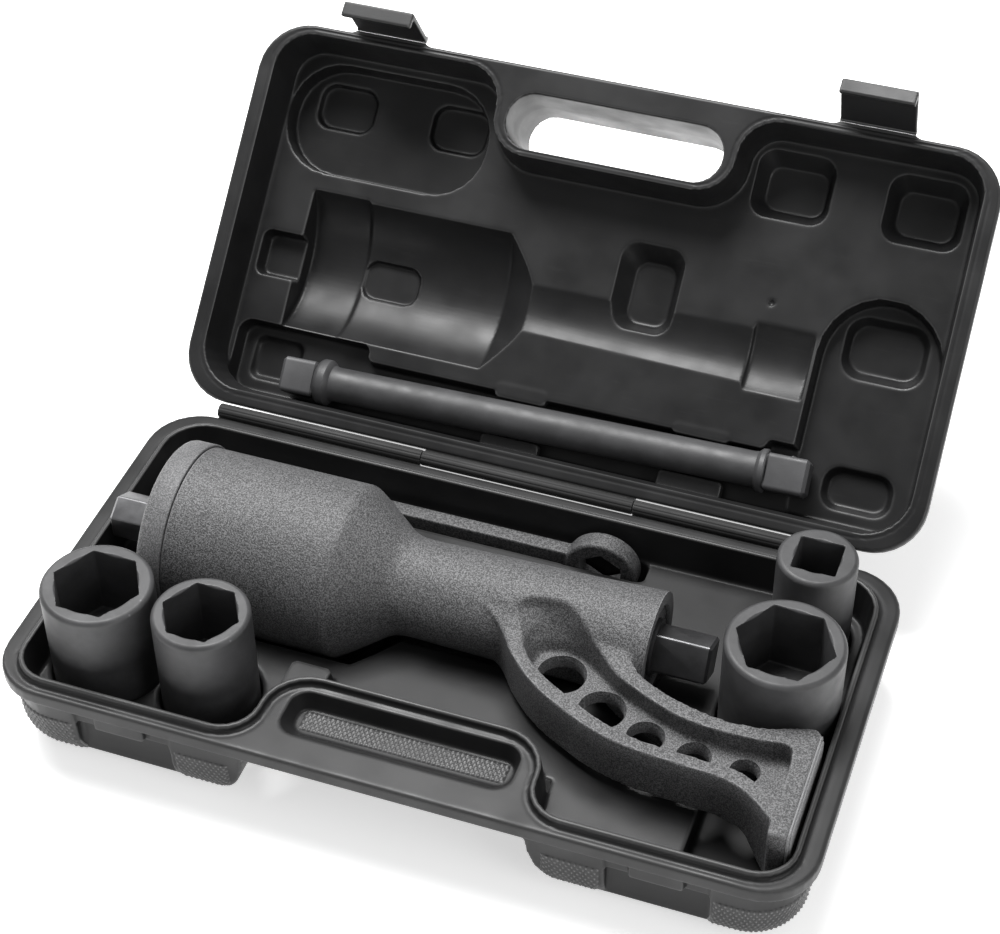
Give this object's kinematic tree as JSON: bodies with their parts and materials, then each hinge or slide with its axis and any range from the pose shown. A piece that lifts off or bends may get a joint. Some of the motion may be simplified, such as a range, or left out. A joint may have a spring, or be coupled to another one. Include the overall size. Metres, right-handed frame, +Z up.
{
  "type": "torque multiplier wrench kit in carrying case",
  "caption": "Black torque multiplier for wheel nuts with curved reaction arm, sockets, crank and extension bar in an open hinged blow-moulded case.",
  "frame": {"origin": "centre of the flat bottom of the case's base", "axes": "+X along the case towards the multiplier's output drive, +Y from the front to the lid hinge, +Z up"},
  "size_m": [0.4, 0.3901, 0.2251],
  "materials": {
    "case_plastic": "moulded black, satin",
    "cast_black": "sandblasted black coating",
    "black_phosphate": "satin black phosphate on forged steel",
    "dark_steel": "dark oxidised machined steel",
    "gear_steel": "ground steel",
    "bronze": "sintered bronze",
    "grip_plastic": "black moulded grip"
  },
  "bodies": {
    "base": {"case_base": "case_plastic", "hinge_pin": "dark_steel"},
    "lid": {"case_lid": "case_plastic"},
    "left_latch": {"latch_left": "case_plastic"},
    "right_latch": {"latch_right": "case_plastic"},
    "multiplier": {"gear_housing": "cast_black", "end_cover": "cast_black", "ring_gear": "gear_steel", "input_bearing": "gear_steel", "rear_bush": "bronze", "front_bush": "bronze", "output_circlip": "gear_steel"},
    "input": {"input_shaft": "dark_steel"},
    "first_carrier": {"stage_1_carrier": "gear_steel"},
    "first_planet_1": {"stage_1_planet_1": "gear_steel"},
    "first_planet_2": {"stage_1_planet_2": "gear_steel"},
    "first_planet_3": {"stage_1_planet_3": "gear_steel"},
    "output": {"output_shaft": "dark_steel", "thrust_washer": "bronze"},
    "second_planet_1": {"stage_2_planet_1": "gear_steel"},
    "second_planet_2": {"stage_2_planet_2": "gear_steel"},
    "second_planet_3": {"stage_2_planet_3": "gear_steel"},
    "large_left_socket": {"socket_38mm": "black_phosphate"},
    "small_left_socket": {"socket_33mm": "black_phosphate"},
    "right_socket": {"socket_41mm": "black_phosphate"},
    "square_socket": {"socket_21mm_square": "black_phosphate"},
    "bar": {"extension_bar": "black_phosphate", "detent_ball": "gear_steel"},
    "crank": {"crank_arm": "cast_black", "grip_pin": "dark_steel"},
    "grip": {"crank_grip": "grip_plastic"}
  },
  "joints": [
    {"name": "lid_hinge", "type": "hinge", "parent": "base", "child": "lid", "pos_m": [0, 0.1085, 0.0504], "axis": [-1, 0, 0], "range_deg": [-136.8, 0]},
    {"name": "left_latch_bend", "type": "hinge", "parent": "lid", "child": "left_latch", "pos_m": [-0.1315, 0.2685, 0.19585], "axis": [-1, 0, 0], "range_deg": [-8, 82]},
    {"name": "right_latch_bend", "type": "hinge", "parent": "lid", "child": "right_latch", "pos_m": [0.1315, 0.2685, 0.19585], "axis": [-1, 0, 0], "range_deg": [-24, 66]},
    {"name": "multiplier_lift", "type": "slide", "parent": "base", "child": "multiplier", "axis": [0, 0, 1], "range_m": [0, 0.12]},
    {"name": "input_spin", "type": "hinge", "parent": "multiplier", "child": "input", "pos_m": [0, 0.0175, 0.053], "axis": [1, 0, 0], "continuous": true},
    {"name": "first_carrier_spin", "type": "hinge", "parent": "multiplier", "child": "first_carrier", "pos_m": [0, 0.0175, 0.053], "axis": [1, 0, 0], "continuous": true},
    {"name": "output_spin", "type": "hinge", "parent": "multiplier", "child": "output", "pos_m": [0, 0.0175, 0.053], "axis": [1, 0, 0], "continuous": true},
    {"name": "first_planet_1_spin", "type": "hinge", "parent": "first_carrier", "child": "first_planet_1", "pos_m": [0, 0.03565, 0.053], "axis": [1, 0, 0], "continuous": true},
    {"name": "first_planet_2_spin", "type": "hinge", "parent": "first_carrier", "child": "first_planet_2", "pos_m": [0, 0.00843, 0.06872], "axis": [1, 0, 0], "continuous": true},
    {"name": "first_planet_3_spin", "type": "hinge", "parent": "first_carrier", "child": "first_planet_3", "pos_m": [0, 0.00843, 0.03728], "axis": [1, 0, 0], "continuous": true},
    {"name": "second_planet_1_spin", "type": "hinge", "parent": "output", "child": "second_planet_1", "pos_m": [0, 0.03565, 0.053], "axis": [1, 0, 0], "continuous": true},
    {"name": "second_planet_2_spin", "type": "hinge", "parent": "output", "child": "second_planet_2", "pos_m": [0, 0.00843, 0.06872], "axis": [1, 0, 0], "continuous": true},
    {"name": "second_planet_3_spin", "type": "hinge", "parent": "output", "child": "second_planet_3", "pos_m": [0, 0.00843, 0.03728], "axis": [1, 0, 0], "continuous": true},
    {"name": "large_left_socket_lift", "type": "slide", "parent": "base", "child": "large_left_socket", "axis": [0, 0, 1], "range_m": [0, 0.12]},
    {"name": "small_left_socket_lift", "type": "slide", "parent": "base", "child": "small_left_socket", "axis": [0, 0, 1], "range_m": [0, 0.12]},
    {"name": "right_socket_lift", "type": "slide", "parent": "base", "child": "right_socket", "axis": [0, 0, 1], "range_m": [0, 0.12]},
    {"name": "square_socket_lift", "type": "slide", "parent": "base", "child": "square_socket", "axis": [0, 0, 1], "range_m": [0, 0.12]},
    {"name": "crank_lift", "type": "slide", "parent": "base", "child": "crank", "axis": [0, 0, 1], "range_m": [0, 0.12]},
    {"name": "bar_release", "type": "slide", "parent": "lid", "child": "bar", "axis": [0, -0.6845, 0.729], "range_m": [0, 0.045]},
    {"name": "grip_spin", "type": "hinge", "parent": "crank", "child": "grip", "pos_m": [-0.173, 0.057, 0.031], "axis": [0, 1, 0], "continuous": true}
  ],
  "couplings": [
    {"joint": "first_carrier_spin", "follows": "input_spin", "ratio": 0.13636},
    {"joint": "output_spin", "follows": "input_spin", "ratio": 0.018595},
    {"joint": "first_planet_1_spin", "follows": "input_spin", "ratio": -0.32386},
    {"joint": "first_planet_2_spin", "follows": "input_spin", "ratio": -0.32386},
    {"joint": "first_planet_3_spin", "follows": "input_spin", "ratio": -0.32386},
    {"joint": "second_planet_1_spin", "follows": "input_spin", "ratio": -0.044163},
    {"joint": "second_planet_2_spin", "follows": "input_spin", "ratio": -0.044163},
    {"joint": "second_planet_3_spin", "follows": "input_spin", "ratio": -0.044163}
  ]
}
